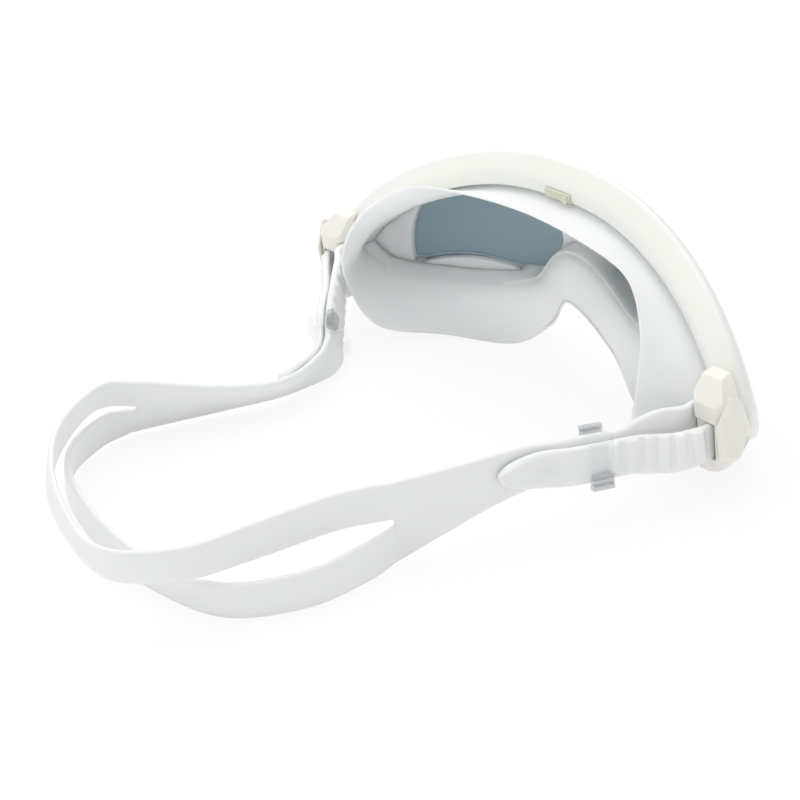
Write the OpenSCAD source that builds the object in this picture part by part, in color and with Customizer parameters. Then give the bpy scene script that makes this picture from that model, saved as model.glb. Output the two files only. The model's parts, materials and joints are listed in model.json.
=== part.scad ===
// Wide-frame swimming goggles with a one-piece curved lens, a silicone face skirt,
// press-to-release side buckles and a split silicone strap.
// The goggles lie as they do on a table: the skirt's two cheek lobes and the lower edge of the
// strap touch z = 0, and the front leans back. +Y is the way the wearer looks, +X the wearer's
// right. Millimetres throughout.

/* [Frame] */
// Half of the frame's width, at the temples
half_w = 88.5; // [87:0.5:91]
// Height of the frame's brow line above its middle
brow_h = 37.5; // [35:0.5:41]
// Depth of the frame's cheek line below its middle
cheek_h = 21.5; // [19:0.5:24]
// Height of the nose arch's crown above the frame's middle
nose_h = 0.5; // [-2:0.5:4]
// Half of the nose arch's width, at its foot
nose_w = 15; // [13:0.5:18]
// Radius of the curve that the front follows from temple to temple
wrap_r = 140; // [136:1:150]
// How far the middle of the brow lies in front of the temples' zero line
front_y = 37.5; // [37:0.5:39]
// Depth of the frame's band at its rear lip
band_d = 7.9; // [7.7:0.1:9]
// Width of the frame's band, from its crest to the rear lip's edge
band_n = 8; // [7.6:0.1:8.8]
// How far the whole front leans back as it lies on the table, in degrees
lean = 20; // [17:1:22]

/* [Lens] */
// Thickness of the lens
lens_t = 2.2; // [1.8:0.1:2.4]
// Width of the frame's front lip over the lens edge
lip_w = 4.4; // [3:0.1:5]

/* [Skirt] */
// Thickness of the skirt's flange behind the lens
flange_t = 2.0; // [1.4:0.1:2.1]
// Wall of the skirt next to the frame
skirt_t = 1.7; // [1.2:0.1:2.2]
// Wall of the skirt's sealing lip
seal_t = 1.0; // [0.7:0.1:1.4]
// Half of the skirt's width at the sealing lip
seal_w = 64.5; // [62:0.5:66]
// Thickness of the hard ring that clamps the flange
ring_t = 2.0; // [1.6:0.1:2.2]

/* [Buckles] */
// Distance from the frame's widest point in to the strap post
post_in = 9; // [8.5:0.5:9.5]
// Radius of the strap post
post_r = 2.2; // [1.8:0.1:2.3]
// Thickness of the push pad
pad_t = 1.6; // [1.2:0.1:2]
// Radius of the lever's pin
pin_r = 0.8; // [0.6:0.05:0.9]
// Thickness of the lever's spring strip
spring_t = 0.3; // [0.2:0.05:0.4]
// How far a buckle leans back on the table, in degrees
buckle_lean = 7; // [5:1:9]

/* [Strap] */
// Width of a strap end
end_w = 10.5; // [9.5:0.1:10.8]
// Width of the strap where it splits in two
split_w = 24; // [23.5:0.5:26]
// Width of each of the two rear bands
band_w = 11; // [10:0.1:11.5]
// Thickness of the strap
strap_t = 2.2; // [1.8:0.1:2.3]
// Height of a rib on a strap end
rib_h = 0.8; // [0.5:0.1:1]
// How much higher the inner strand runs than the outer one at a post
rise = 3.7; // [2:0.1:4]

/* [Keepers] */
// Length of a keeper along the strap
keeper_l = 6.5; // [6:0.5:9]
// Wall of a keeper
keeper_t = 0.8; // [0.7:0.1:1.5]
// Height of a keeper's stepped lugs, above and below its window
lug_h = 1.8; // [1.4:0.1:2.2]

/* [Fits] */
// Play between hard pieces that sit in each other
fit = 0.15; // [0.1:0.01:0.2]
// Play between the strap and what it runs through
strap_fit = 0.3; // [0.3:0.05:0.4]
// Radial play of the lever on its pin
pin_fit = 0.05; // [0.02:0.01:0.08]

/* [Hidden] */

// Colours, as the photographed goggles show them
ivory = "#EFF1E8";
warm_white = "#EFE9DF";
silicone = "#F1F3F3";
smoke = "#5F7079";
clear = "#C5CCD0";
yellowed = "#DDDCC0";
steel = "#B9BCC0";

// Small helpers for points
function last(p) = p[len(p) - 1];
function unit(v) = v / norm(v);
function mix(a, b, s) = a + (b - a) * s;
function turn(v) = [-v.y, v.x];
function backwards(list) = [for (i = [len(list) - 1:-1:0]) list[i]];

// A smooth curve through given points: one span, an open curve and a closed curve
function span(a, b, c, d, s) =
    0.5 * (2 * b + (c - a) * s + (2 * a - 5 * b + 4 * c - d) * s * s
        + (3 * b - a - 3 * c + d) * s * s * s);
function open_curve(p, m) = let (n = len(p)) concat(
    [for (i = [0:n - 2], j = [0:m - 1]) span(
        i == 0 ? 2 * p[0] - p[1] : p[i - 1], p[i], p[i + 1],
        i == n - 2 ? 2 * p[n - 1] - p[n - 2] : p[i + 2], j / m)],
    [last(p)]);
function closed_curve(p, m) = let (n = len(p))
    [for (i = [0:n - 1], j = [0:m - 1])
        span(p[(i + n - 1) % n], p[i], p[(i + 1) % n], p[(i + 2) % n], j / m)];

// The right half of a loop, from the brow's middle to the nose, made whole by its mirror image
function whole(half) = concat(half,
    [for (i = [len(half) - 2:-1:1]) [-half[i].x, each [for (k = [1:len(half[i]) - 1]) half[i][k]]]]);

// Steps between two given points of the frame's loops
steps = 5;

// Front view of the frame's crest: x, z
crest_half = [
    [0, brow_h], [0.28 * half_w, brow_h - 1], [0.54 * half_w, brow_h - 6],
    [0.76 * half_w, brow_h - 13.5], [0.93 * half_w, brow_h - 24], [half_w, brow_h - 36],
    [0.9 * half_w, 6.5 - cheek_h], [0.64 * half_w, -cheek_h], [0.37 * half_w, 1 - cheek_h],
    [nose_w, 8.5 - cheek_h], [0, nose_h]];
crest = closed_curve(whole(crest_half), steps);
stations = len(crest);
crest_out = [for (i = [0:stations - 1])
    turn(unit(crest[(i + 1) % stations] - crest[(i + stations - 1) % stations]))];

// The stretch of the band that each buckle takes over, from the seam above it to the one below
seam_top = 20;
seam_low = 28;
function run(side, a, b) = side > 0 ? [for (i = [a:b]) i] : [for (i = [stations - b:stations - a]) i];

// The front wraps round an upright axis: y of a point at x on a cylinder of radius r
function wrap_y(x, r) = front_y - wrap_r + sqrt(r * r - x * x);

// A point at station i or between two stations, n outwards from the crest and d in front of it
function on_front(i, n, d) = let (a = floor(i), b = (a + 1) % stations,
        q = mix(crest[a], crest[b], i - a) + n * mix(crest_out[a], crest_out[b], i - a))
    [q.x, wrap_y(q.x, wrap_r + d), q.y];

// Depths of what is stacked in the frame, measured from the crest's cylinder
lens_front = 0.7;
lens_face = lens_front - fit / 2;
lens_back = lens_face - lens_t;
flange_back = lens_back - fit - flange_t;
ring_back = flange_back - fit - ring_t;
cut_back = lens_back - 0.3;

// Inner wall of the frame, stepped so that each layer drops in from behind
wall_lens = -3.4;
wall_flange = -4.2;
wall_ring = -5.2;
lip_edge = -wall_lens + lip_w;
ridge_n = band_n * 0.53;
skirt_n = band_n + 1;

frame_profile = [
    [0, 0], [-0.4, 1.0], [-1.8, 2.0], [-lip_edge + 0.2, 2.4], [-lip_edge, lens_front],
    [wall_lens, lens_front], [wall_lens, lens_back - fit / 2], [wall_flange, lens_back - fit / 2],
    [wall_flange, flange_back - fit / 2], [wall_ring, flange_back - fit / 2],
    [wall_ring, ring_back - fit], [-band_n, ring_back - fit], [-band_n, -band_d],
    [-ridge_n, 0.5 - band_d]];
whole_part = 8;
cut_edge = 1.1;
cut_points = len(frame_profile) - whole_part;
cut_profile = [for (j = [0:len(frame_profile) - 1]) j < whole_part ? frame_profile[j]
    : [mix(wall_flange, -cut_edge, (j - whole_part) / (cut_points - 1)), cut_back]];

// The frame's rings: whole, or cut at the temples. At a seam the band ends within a short step,
// first its rear hook, then the shelf of the ring, then the rest.
seam_step = 0.05;
apart = 0.01;
function held_to(n) = [for (j = [0:len(frame_profile) - 1]) let (p = frame_profile[j],
        s = max(0, j - whole_part) * apart)
    j < whole_part ? p : [max(p.x, n) + s, max(p.y, 0.5 - band_d) - s]];
seam_profiles = [frame_profile, held_to(wall_ring), held_to(wall_flange), cut_profile];
function is_cut(i) = let (j = min(i, stations - i)) j >= seam_top && j <= seam_low;
function frame_ring(i, profile) = [for (p = profile) on_front(i, p.x, p.y)];
frame_rings = [for (i = [0:stations - 1]) each
    i == seam_top || i == stations - seam_low
        ? [for (k = [0:3]) frame_ring(i - seam_step * (3 - k) / 3, seam_profiles[k])]
    : i == seam_low || i == stations - seam_top
        ? [for (k = [0:3]) frame_ring(i + seam_step * k / 3, seam_profiles[3 - k])]
    : [frame_ring(i, is_cut(i) ? cut_profile : frame_profile)]];

// Skirt's sealing lip in space: it follows forehead, temples, cheekbones and nose
function behind(x, depth, z) = [x, wrap_y(x, wrap_r) - depth, z];
seal_half = [
    behind(0, 22.5, brow_h - 1.5), behind(0.4 * seal_w, 22.1, brow_h - 1.8),
    behind(0.73 * seal_w, 19.6, brow_h - 4.9), behind(0.93 * seal_w, 24, brow_h - 11.5),
    behind(seal_w, 30.8, brow_h - 21.5), behind(0.98 * seal_w, 35.4, brow_h - 33),
    behind(0.9 * seal_w, 35.4, 9.5 - cheek_h), behind(0.68 * seal_w, 26.5, 0.5 - cheek_h),
    behind(0.4 * seal_w, 19.6, -4.5 - cheek_h), behind(0.19 * seal_w, 14.5, 3.5 - cheek_h),
    behind(0, 15.5, nose_h - 5.2)];
seal = closed_curve(whole(seal_half), steps);

// One ring of the skirt: flange, wall that flares to the sealing lip, and back along the inside.
// The wall runs straight past the band before it flares; at the temples it flares at once.
flare = 1.5;
wall_steps = [0, 0.25, 0.5, 0.75, 1];
function temple_share(i) = min(1, max(0, (abs(crest[i].x) / half_w - 0.84) / 0.08));
function skirt_wall(i, s, inset) = let (
        a = on_front(i, -skirt_n - 0.3, mix(-band_d - 0.6, ring_back - 0.2, temple_share(i))),
        r = seal[i],
        out = [crest_out[i].x, 0, crest_out[i].y],
        c = mix(a, r, 0.5) - flare * out)
    mix(mix(a, c, s), mix(c, r, s), s) - inset * out;
function skirt_ring(i) = concat(
    [on_front(i, -skirt_n - skirt_t, lens_back - fit),
        on_front(i, wall_flange - fit, lens_back - fit),
        on_front(i, wall_flange - fit, flange_back),
        on_front(i, -skirt_n, flange_back)],
    [for (s = wall_steps) skirt_wall(i, s, 0)],
    [for (s = backwards(wall_steps)) skirt_wall(i, s, mix(skirt_t, seal_t, s))]);

// Height at which the front's zero line lies, so that the skirt's lobes reach the table
function drop(p) = -(p.y * sin(lean) + p.z * cos(lean));
seat_z = max([for (i = [0:stations - 1], p = skirt_ring(i)) drop(p)]);

// The strap post on the right side: in the front's own frame, then on the table
post_back = 8.5;
post_front = [half_w - post_in, wrap_y(half_w, wrap_r) - post_back, 1.6];
post_at = [post_front.x, post_front.y * cos(lean) - post_front.z * sin(lean),
    seat_z + post_front.y * sin(lean) + post_front.z * cos(lean)];

// Radius at which the middle of the strap runs round the post
loop_r = post_r + strap_fit / 2 + strap_t / 2;

// Faces of a body that is swept through rings of k points, in triangles
function wrap_faces(m, k, closed) = [for (i = [0:m - (closed ? 1 : 2)], j = [0:k - 1]) let (
        a = i * k + j, b = i * k + (j + 1) % k,
        c = ((i + 1) % m) * k + (j + 1) % k, d = ((i + 1) % m) * k + j)
    each [[a, b, c], [a, c, d]]];
function cap_faces(k, from, flip) = [for (j = [1:k - 2])
    flip ? [from, from + j, from + j + 1] : [from, from + j + 1, from + j]];

// A closed loop of rings, such as the frame
module loop_body(rings) {
    m = len(rings);
    k = len(rings[0]);
    polyhedron(points = [for (r = rings) each r], faces = wrap_faces(m, k, true));
}

// An open run of rings with flat ends
module run_body(rings) {
    m = len(rings);
    k = len(rings[0]);
    polyhedron(points = [for (r = rings) each r], faces = concat(
        wrap_faces(m, k, false), cap_faces(k, 0, false), cap_faces(k, (m - 1) * k, true)));
}

// Faces that close a strap's end from one broad face across to the other
function strip_faces(k, from, flip) = [for (j = [0:k / 2 - 2]) let (
        a = from + j, b = from + j + 1, c = from + k - 2 - j, d = from + k - 1 - j)
    each (flip ? [[a, b, d], [b, c, d]] : [[a, d, b], [b, d, c]])];

// A profile of n and d values, swept along some of the front's stations
module along_front(list, profile) run_body([for (i = list)
    [for (p = profile) on_front(i, p.x, p.y)]]);

// Puts what is drawn in the front's own frame where it lies on the table
module on_table() {
    translate([0, 0, seat_z]) rotate([lean, 0, 0]) children();
}

// Puts what is drawn about the right strap post in its place, or mirrored on the left
module at_buckle(side) {
    mirror([side > 0 ? 0 : 1, 0, 0])
        translate(post_at) rotate([buckle_lean, 0, 0]) children();
}
function at_post(side, p) = let (q = post_at + [p.x,
        p.y * cos(buckle_lean) - p.z * sin(buckle_lean),
        p.y * sin(buckle_lean) + p.z * cos(buckle_lean)])
    [side * q.x, q.y, q.z];

// Frame: one hard rim; its bevelled band stops where the buckles take it over
module frame() color(ivory) on_table() difference() {
    loop_body(frame_rings);
    lock_room();
}

// Lens: one smoke visor, curved round an upright axis
module lens() color(smoke) on_table() intersection() {
    translate([0, front_y + 10, 0]) rotate([90, 0, 0]) linear_extrude(half_w)
        polygon([for (i = [0:stations - 1]) crest[i] + (wall_lens - fit) * crest_out[i]]);
    translate([0, front_y - wrap_r, -half_w]) difference() {
        cylinder(h = 2 * half_w, r = wrap_r + lens_face, $fn = 240);
        cylinder(h = 2 * half_w, r = wrap_r + lens_back, $fn = 240);
    }
}

// Retaining ring: drops in behind the flange and snaps behind the frame's rear lip
module retaining_ring() color(ivory) on_table() difference() {
    loop_body([for (i = [0:stations - 1]) backwards([for (p = [
        [wall_ring - fit, flange_back - fit], [wall_ring - fit, ring_back],
        [-skirt_n + fit, ring_back], [-skirt_n + fit, flange_back - fit]])
        on_front(i, p.x, p.y)])]);
    lock_room();
}

// Lens lock: a clear tab in a notch at the middle of the brow, with a small peg beside it
lock_w = 11;
lock_d = 4;
peg_r = 1.1;
lock_at = [0, wrap_y(0, wrap_r - band_d), brow_h - band_n];
module lock_room() translate(lock_at) translate([-lock_w / 2, -1, -1.5])
    cube([lock_w, lock_d + 1.3, 4.5]);
module lens_lock() color(yellowed) on_table() translate(lock_at) {
    translate([-lock_w / 2 + fit, -0.4, 0]) cube([lock_w - 2 * fit, lock_d + 0.4 - fit, 3 - fit]);
    translate([lock_w / 2 - 2, 0, 1.4]) rotate([90, 0, 0]) cylinder(h = 1.4, r = peg_r, $fn = 32);
}

// Outline of the right eye's window in the skirt: x, z from its nasal top down and outwards
eye_out = half_w - 20;
eye_low = 11.2 - cheek_h;
eye_window = [
    [nose_w - 5.5, brow_h], [nose_w - 4, 8.4], [nose_w, -1], [nose_w + 4, eye_low + 1.2],
    [nose_w + 9, eye_low], [eye_out - 3, eye_low - 0.5], [eye_out, eye_low + 4],
    [eye_out, 0.2 * brow_h], [eye_out - 4, brow_h - 18], [eye_out - 12, brow_h]];

// Skirt: soft one-piece seal between the frame and the face, with a web between the eye windows
module skirt() color(silicone) on_table() {
    loop_body([for (i = [0:stations - 1]) backwards(skirt_ring(i))]);
    intersection() {
        translate([0, front_y + 10, 0]) rotate([90, 0, 0]) linear_extrude(half_w) difference() {
            polygon([for (i = [0:stations - 1]) crest[i] + (1 - skirt_n) * crest_out[i]]);
            for (side = [0, 1]) mirror([side, 0]) polygon(eye_window);
        }
        translate([0, front_y - wrap_r, -half_w]) difference() {
            cylinder(h = 2 * half_w, r = wrap_r + lens_back - 2 * fit, $fn = 240);
            cylinder(h = 2 * half_w, r = wrap_r + flange_back + fit, $fn = 240);
        }
    }
}

// Strap routes on the table, each point the middle of the strap and its inward lean in degrees
keeper_right = [72.6, -36.4, 20.2];
keeper_left = [-54, -28, 9.6];
run_right = unit([-0.33, -0.944, 0]);
run_left = unit([0.72, -0.62, -0.3]);
tilt_right = 8;
tilt_left = -20;
pair_right = [1.6, 0.45, -0.75];
pair_left = [-1, -0.9, -0.45];
held = 8.5;
function straight(at, dir, tilt) = [for (s = [-held, 0, held]) [each at + s * dir, tilt]];
outer_right = [[each at_post(1, [loop_r, 0, -rise / 2]), 0],
    [each at_post(1, [loop_r, -5, -rise / 2]), 4], [80.8, -14.8, 17.2, 24], [78, -22.5, 18.3, 22],
    each straight(keeper_right + pair_right, run_right, tilt_right)];
inner_right = [[each at_post(1, [-loop_r, 0, rise / 2]), 0],
    [each at_post(1, [-loop_r, -5, rise / 2]), 2], [73.9, -15, 21.9, 5], [73.4, -22.5, 21.3, 8],
    each straight(keeper_right - pair_right, run_right, tilt_right)];
outer_left = [[each at_post(-1, [loop_r, 0, -rise / 2]), 0],
    [each at_post(-1, [loop_r, -3.5, -rise / 2]), 0], [-77.5, -10.2, 16.9, -12],
    [-68.5, -16.5, 13.8, -18], each straight(keeper_left + pair_left, run_left, tilt_left)];
inner_left = [[each at_post(-1, [-loop_r, 0, rise / 2]), 0],
    [each at_post(-1, [-loop_r, -3.5, rise / 2]), 0], [-72, -10, 19.4, -8],
    [-65, -16.4, 15.4, -16], each straight(keeper_left - pair_left, run_left, tilt_left)];

// Broad part behind each keeper, up to where it splits in two
broad_right = [last(inner_right), [64.4, -52, 19.8, 4], [60.4, -64.5, 17.6, -2],
    [57.2, -76, 15.2, -3], [54.8, -86, 13.4, -3]];
broad_left = [last(inner_left), [-42.2, -42.6, 7.0, 20], [-38.4, -60, 7.3, 46],
    [-42.6, -79.5, 8.6, 42], [-47.4, -99, 11.2, 31]];

// Free tail of each strap end, lying on the outside of the broad part
tail_right = [last(outer_right), [68, -51.2, 19.6, 5], [64.2, -61, 18.6, 0], [63, -65, 18, -1]];
tail_left = [last(outer_left), [-44.5, -43.4, 7.9, 20], [-42, -52, 8.6, 34], [-41, -56.4, 8.9, 40]];
tail_w = [1, 0.95, 0.72, 0.12];

// Rear bands from the left split round to the right one
rear_upper = [[-47, -114, 19.4, 27], [-35, -133, 18.8, 12], [-16, -147.5, 18.6, 8],
    [8, -156.7, 18.2, -5], [30.5, -159.5, 18, -16], [43.5, -146, 18.2, -14],
    [47.5, -127, 19.2, -6], [50, -104, 19.6, -4]];
rear_lower = [[-50.5, -112, 6.6, 12], [-42, -127, 6.3, 8], [-26.5, -136.4, 6.1, 0],
    [0, -142.8, 6.1, -5], [25, -143.6, 6.1, -10], [47, -137.3, 6.1, -10],
    [56.5, -119, 6.2, -3], [56.4, -100, 6.4, 2]];

// Directions at a point of a route: along it, across the strap's width, and inwards
function xyz(p) = [p[0], p[1], p[2]];
function along(r, i) = unit(xyz(r[min(i + 1, len(r) - 1)]) - xyz(r[max(i - 1, 0)]));
function across(t, tilt, hand) = let (n = hand * unit([-t.y, t.x, 0]), up = hand * cross(t, n))
    cos(tilt) * up + sin(tilt) * n;
function inward(t, u, hand) = hand * cross(u, t);

// The strap's section at a point c: u across its width, v towards the post that the end turns on.
// The ribs stand on the face away from the post; g is half of the flat between their bevels.
rib_inset = 0.9;
function section(c, u, v, w, rib, g) = let (
        h = w / 2 * u, i = g * u, a = strap_t / 2 * v, o = (strap_t / 2 + rib) * v)
    [c + h - a, c + i - o, c - i - o, c - h - a, c - h + a, c - i + a, c + i + a, c + h + a];
function strap_ring(r, i, hand, face, w, rib, g) = let (a = along(r, i), u = across(a, r[i][3], hand))
    section(xyz(r[i]), u, face * inward(a, u, hand), w, rib, g);

// Ribs, which pause round the post and end where the broad part or the tail starts
rib_steps = 7;
ribbed = 6 * rib_steps;
function rib(i) = i > rib_steps && i < ribbed && i % 4 < 2 ? rib_h : 0;

// One end of the strap, from the tip of its tail over the post to where the broad part splits
slot_g = split_w / 2 - band_w;
function after_first(list) = [for (i = [1:len(list) - 1]) list[i]];
function strap_end(hand, outer, inner, broad, tail) = let (
        o = open_curve(concat(outer, after_first(tail)), rib_steps),
        n = open_curve(concat(inner, after_first(broad)), rib_steps),
        taper = open_curve(tail_w, rib_steps))
    concat(
        backwards([for (i = [0:len(o) - 1]) let (w = end_w * (i > ribbed ? taper[i - ribbed] : 1))
            strap_ring(o, i, hand, 1, w, rib(i), max(w / 2 - rib_inset, w / 4))]),
        [for (q = [15:15:165]) let (out = [cos(q), sin(q), 0]) [for (p = section(
            loop_r * out + [0, 0, mix(-rise / 2, rise / 2, q / 180)], [0, 0, 1], -out, end_w, 0,
            end_w / 2 - rib_inset)) at_post(-hand, p)]],
        [for (i = [0:len(n) - 1]) let (s = pow(max(0, i - ribbed) / (len(n) - 1 - ribbed), 1.2),
            w = mix(end_w, split_w, s))
            strap_ring(n, i, hand, -1, w, rib(i), mix(end_w / 2 - rib_inset, slot_g, s))]);
end_left = strap_end(1, outer_left, inner_left, broad_left, tail_left);
end_right = backwards(strap_end(-1, outer_right, inner_right, broad_right, tail_right));

// The two bands round the back, each from its half of the left split to its half of the right one
band_steps = 5;
function split_at(broad, hand, sign) = let (n = len(broad) - 1, p = last(broad),
        a = unit(xyz(broad[n]) - xyz(broad[n - 1])))
    [each xyz(p) + sign * (split_w - band_w) / 2 * across(a, p[3], hand), p[3]];
function band(middle, sign) = let (r = open_curve(concat(
        [split_at(broad_left, 1, sign)], middle, [split_at(broad_right, -1, sign)]), band_steps))
    [for (i = [1:len(r) - 2]) let (a = along(r, i), up = across(a, r[i][3], 1),
        u = band_w / 2 * up, v = -strap_t / 2 * inward(a, up, 1), c = xyz(r[i]))
        [c + u - v, c - u - v, c - u + v, c + u + v]];
bands = [band(rear_upper, 1), band(rear_lower, -1)];

// The whole strap is one body: the two ends' rings of 8 points and the bands' rings of 4
split_corners = [[0, 1, 6, 7], [2, 3, 4, 5]];
function moved(faces, by) = [for (f = faces) [for (v = f) v + by]];
module strap() color(silicone) {
    ml = len(end_left);
    mr = len(end_right);
    mb = [len(bands[0]), len(bands[1])];
    first = [8 * ml, 8 * ml + 4 * mb[0]];
    right = first[1] + 4 * mb[1];
    split_l = 8 * (ml - 1);
    polyhedron(
        points = [for (part = [end_left, bands[0], bands[1], end_right], ring = part) each ring],
        faces = concat(
            wrap_faces(ml, 8, false), strip_faces(8, 0, false),
            moved([[1, 2, 6], [2, 5, 6]], split_l),
            [for (k = [0, 1], i = [0:mb[k]], j = [0:3]) let (
                    near = i == 0 ? [for (q = split_corners[k]) split_l + q]
                        : [for (q = [0:3]) first[k] + 4 * (i - 1) + q],
                    far = i == mb[k] ? [for (q = split_corners[k]) right + q]
                        : [for (q = [0:3]) first[k] + 4 * i + q],
                    a = near[j], b = near[(j + 1) % 4], c = far[(j + 1) % 4], d = far[j])
                each [[a, b, c], [a, c, d]]],
            moved([[1, 6, 2], [2, 6, 5]], right),
            moved(wrap_faces(mr, 8, false), right), strip_faces(8, right + 8 * (mr - 1), true)));
}

// Buckle, drawn about its strap post: x outwards, y forwards, z up
slot_h = end_w / 2 + strap_fit;
slot_x = loop_r + strap_t / 2 + rib_h + strap_fit;
pin_at = [7.0, 2.4];
hub_r = pin_r + 0.9;
lever_h = 4.9;
pocket_h = lever_h + 0.3;
rear_y = -2.7;
inner_x = -2.7;
top_z = 15.2;
low_z = -13;
module buckle_block() intersection() {
    translate([0, 0, low_z - 1]) linear_extrude(top_z - low_z + 2) polygon([
        [inner_x, -1.2], [-1.2, rear_y], [6, rear_y], [8, -0.9], [9, 4], [9.6, 8], [5, 11], [-1, 11],
        [inner_x, 4]]);
    rotate([90, 0, 90]) translate([0, 0, -10]) linear_extrude(30) polygon([
        [rear_y, low_z + 3], [-1.4, low_z], [5, low_z], [10, -8], [12, 0], [11, 12], [6, top_z],
        [2.5, top_z - 0.7], [rear_y, top_z - 6.4]]);
    rotate([90, 0, 0]) translate([0, 0, -20]) linear_extrude(40) polygon([
        [inner_x, low_z + 1.3], [-1.4, low_z], [4.5, low_z], [10, -6], [10, top_z - 8],
        [3.5, top_z + 0.1], [inner_x, top_z + 0.1]]);
}
// Room for the strap: the slot of the outer strand, the open inner side and the turn in front
module strap_room() {
    low = -rise / 2 - slot_h;
    translate([-9, -9, low]) cube([9 + slot_x, 10 + rear_y, 2 * slot_h]);
    translate([-9, -9, low]) cube([9 - post_r + 0.5, 9, 2 * slot_h + rise]);
    translate([-9, rear_y + 1, low])
        cube([9 + slot_x, loop_r + strap_t / 2 + strap_fit - rear_y - 1, 2 * slot_h + rise]);
}
module buckle(side) color(warm_white) difference() {
    union() {
        difference() {
            union() {
                at_buckle(side) buckle_block();
                on_table() along_front(run(side, seam_top - 1, seam_low + 1), [
                    [0, 0], [wall_ring - 1, 0], [wall_ring - 1, ring_back + 1],
                    [-band_n, ring_back + 1], [-band_n, -band_d], [-ridge_n, 0.5 - band_d]]);
            }
            at_buckle(side) strap_room();
        }
        at_buckle(side) cylinder(h = 2 * slot_h + rise + 2, r = post_r, center = true, $fn = 48);
    }
    on_table() front_room(side);
    at_buckle(side) {
        translate([slot_x - 1.4, rear_y + 0.9, -pocket_h]) cube([pad_x, 4, 2 * pocket_h]);
        translate([pin_at.x - 2.1, 0.2, -pocket_h]) cube([8, 4.4, 2 * pocket_h]);
        translate([pin_at.x, pin_at.y, 0]) cylinder(h = 2 * pin_half, r = pin_r, center = true, $fn = 32);
        pad_room();
    }
}
// Room under and round a push pad, deep enough in front for the pad to swing in
module pad_room() intersection() {
    translate([0, 0, -20]) linear_extrude(40) polygon([[pad_x - 0.9, rear_y - 0.5],
        [pad_x + 0.15, pin_at.y], [pad_x + 0.5, 7.4], [pad_x + 0.5, 14], [16, 14], [16, rear_y - 0.5]]);
    rotate([90, 0, 90]) linear_extrude(16)
        polygon([for (p = pad_edge) p + 0.5 * unit(p - pad_mid)]);
}
// Room in front of a buckle for the rest of the frame, the lens, the ring and the skirt
reach = 6;
module front_room(side) {
    along_front(run(side, seam_top - reach, seam_low + reach), [
        [4, 6], [-skirt_n - 8, 6], [-skirt_n - 8, -band_d - 2], [-skirt_n - 1, -band_d - 2],
        [-skirt_n + 0.3, ring_back - fit], [wall_ring + fit, ring_back - fit],
        [wall_ring + fit, flange_back - fit], [wall_flange + fit, flange_back - fit],
        [wall_flange + fit, cut_back - fit], [4, cut_back - fit]]);
    for (r = [[seam_top - reach + 1, seam_top], [seam_low, seam_low + reach - 1]])
        along_front(run(side, r[0], r[1]), [
            [2, 5], [-skirt_n - 7, 5], [-skirt_n - 7, -band_d - fit], [-band_n, -band_d - fit],
            [-ridge_n, 0.5 - band_d - fit], [fit, -fit], [2, 0]]);
}
module buckle_left() buckle(-1);
module buckle_right() buckle(1);

// Release lever: a bevelled push pad on a hub, with an arm whose tooth holds the outer strand
pad_x = 7.9;
pad_slope = 12;
tooth_x = slot_x - 0.6 * rib_h;
module lever() difference() {
    union() {
        translate([0, 0, -lever_h]) linear_extrude(2 * lever_h) {
            polygon([[slot_x + 0.1, rear_y + 1.2], [tooth_x, rear_y + 1.6],
                [tooth_x, rear_y + 2], [slot_x + 0.1, rear_y + 2.4], [slot_x + 0.3, 1.4],
                [slot_x + 1.3, 1.4], [slot_x + 1.3, rear_y + 1.2]]);
            translate(pin_at) circle(r = hub_r, $fn = 40);
            translate([pin_at.x, pin_at.y - 1.4]) square([2.6, 2.8]);
        }
        translate([pad_x, 0, 0]) rotate([0, 0, -pad_slope]) pad();
    }
    translate([pin_at.x, pin_at.y, 0]) cylinder(h = 30, r = pin_r + pin_fit, center = true, $fn = 32);
}
pad_edge = [[-2.4, 3.5], [0.8, 12.2], [4.6, 9.6], [7, 0.6], [3.6, -8.4], [-1.4, -6.3]];
pad_mid = [2.6, 1.2];
pad_bevel = 1.1;
module pad() rotate([90, 0, 90]) hull() {
    linear_extrude(pad_t - 0.7) polygon(pad_edge);
    linear_extrude(pad_t) polygon([for (p = pad_edge) p - pad_bevel * unit(p - pad_mid)]);
}
module release_lever_left() color(warm_white) at_buckle(-1) lever();
module release_lever_right() color(warm_white) at_buckle(1) lever();

// Lever pins, pressed into the buckles above and below the pocket
pin_half = 7.5;
module lever_pin() translate([pin_at.x, pin_at.y, 0])
    cylinder(h = 2 * pin_half, r = pin_r, center = true, $fn = 32);
module lever_pin_left() color(steel) at_buckle(-1) lever_pin();
module lever_pin_right() color(steel) at_buckle(1) lever_pin();

// Lever springs: a steel strip that slants from the buckle's bed to the front of the pad
module lever_spring() translate([0, 0, -1.3]) linear_extrude(4.3) polygon([
    [pad_x + 0.62, 4.7], [pad_x + 0.62 + spring_t, 4.7], [pad_x + 1.4, 6.7], [pad_x + 1.4 - spring_t, 6.8]]);
module lever_spring_left() color(steel) at_buckle(-1) lever_spring();
module lever_spring_right() color(steel) at_buckle(1) lever_spring();

// Keepers: clear loops with stepped lugs that hold both strands together
window_t = 2 * strap_t + 2 * rib_h + 2 * strap_fit + 0.65;
window_h = end_w + 1.6 + 2 * strap_fit;
module keeper(at, dir, tilt, hand) {
    u = across(dir, tilt, hand);
    v = inward(dir, u, hand);
    m = [[dir.x, v.x, u.x, at.x], [dir.y, v.y, u.y, at.y], [dir.z, v.z, u.z, at.z], [0, 0, 0, 1]];
    multmatrix(m) keeper_body();
}
module keeper_body() difference() {
    union() {
        cube([keeper_l, window_t + 2 * keeper_t, window_h + lug_h], center = true);
        cube([keeper_l - 1.6, window_t + keeper_t, window_h + 2 * lug_h], center = true);
    }
    cube([keeper_l + 1, window_t, window_h], center = true);
}
module strap_keeper_left() color(clear) keeper(keeper_left, run_left, tilt_left, 1);
module strap_keeper_right() color(clear) keeper(keeper_right, run_right, tilt_right, -1);

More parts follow.
